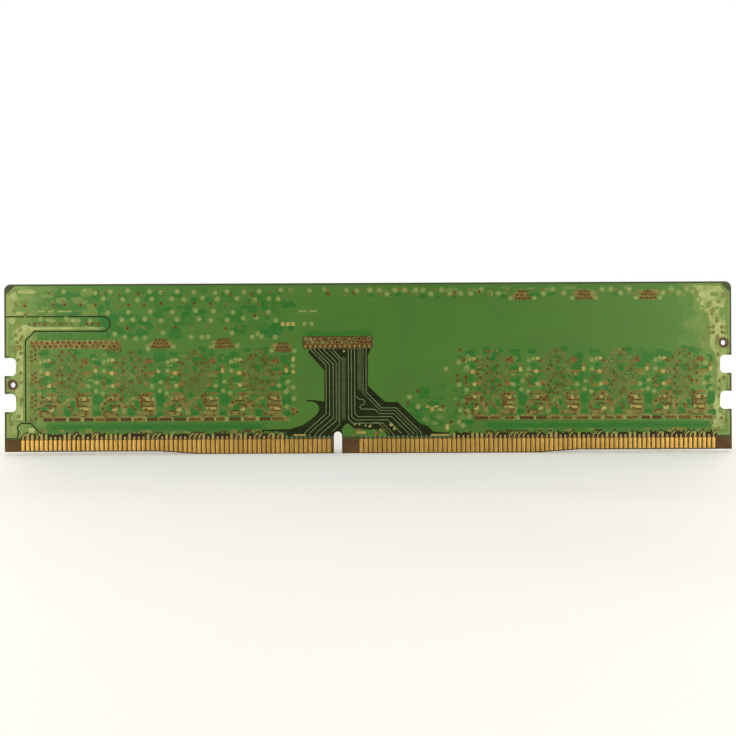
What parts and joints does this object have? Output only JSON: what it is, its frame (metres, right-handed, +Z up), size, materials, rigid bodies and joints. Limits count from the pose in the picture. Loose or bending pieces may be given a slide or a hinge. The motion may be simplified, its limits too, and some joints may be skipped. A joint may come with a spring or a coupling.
{
  "type": "ram module",
  "caption": "Memory module: long thin circuit board with gold edge contacts, an off-centre key notch, latch notches in its ends and memory packages on one side.",
  "frame": {"origin": "on the lowest stretch of the contact edge, midway along the board and midway through its thickness", "axes": "+X along the board, to the right when the bare back is seen; +Z up from the contact edge to the top edge; +Y out of the side that carries the packages, so the bare back faces -Y"},
  "size_m": [0.1334, 0.0025, 0.0312],
  "materials": {
    "laminate": "glass-fibre epoxy laminate, satin, brownish yellow",
    "copper": "copper foil under the solder mask",
    "solder_mask": "green semi-gloss solder mask, copper and laminate showing through",
    "gold_contacts": "gold plating, satin, faint rub marks",
    "mould_compound": "black moulding compound, fine matt grain",
    "package_substrate": "green-brown package substrate",
    "silicon": "polished silicon",
    "solder": "bright tin-silver solder",
    "tinned_terminals": "satin tin plating",
    "capacitor_ceramic": "tan ceramic, satin",
    "resistor_glaze": "black glaze over white ceramic"
  },
  "bodies": {
    "root": {"centre_core": "laminate", "back_core": "laminate", "front_core": "laminate", "back_outer_prepreg": "laminate", "back_inner_prepreg": "laminate", "front_inner_prepreg": "laminate", "front_outer_prepreg": "laminate", "back_ground_plane": "copper", "back_signal_layer": "copper", "back_power_plane": "copper", "front_power_plane": "copper", "front_signal_layer": "copper", "front_ground_plane": "copper", "back_copper": "copper", "front_copper": "copper", "back_solder_mask": "solder_mask", "front_solder_mask": "solder_mask", "via_barrels": "copper", "back_contacts_left": "gold_contacts", "back_contacts_right": "gold_contacts", "front_contacts_left": "gold_contacts", "front_contacts_right": "gold_contacts", "package_1_body": "mould_compound", "package_2_body": "mould_compound", "package_3_body": "mould_compound", "package_4_body": "mould_compound", "package_5_body": "mould_compound", "package_6_body": "mould_compound", "package_7_body": "mould_compound", "package_8_body": "mould_compound", "package_1_substrate": "package_substrate", "package_2_substrate": "package_substrate", "package_3_substrate": "package_substrate", "package_4_substrate": "package_substrate", "package_5_substrate": "package_substrate", "package_6_substrate": "package_substrate", "package_7_substrate": "package_substrate", "package_8_substrate": "package_substrate", "package_1_balls": "solder", "package_2_balls": "solder", "package_3_balls": "solder", "package_4_balls": "solder", "package_5_balls": "solder", "package_6_balls": "solder", "package_7_balls": "solder", "package_8_balls": "solder", "memory_chips": "silicon", "id_chip_body": "mould_compound", "id_chip_pads": "tinned_terminals", "decoupling_capacitor_bodies": "capacitor_ceramic", "decoupling_capacitor_terminals": "tinned_terminals", "bulk_capacitor_bodies": "capacitor_ceramic", "bulk_capacitor_terminals": "tinned_terminals", "resistor_array_bodies": "resistor_glaze", "resistor_array_terminals": "tinned_terminals", "front_solder": "solder"}
  },
  "joints": []
}
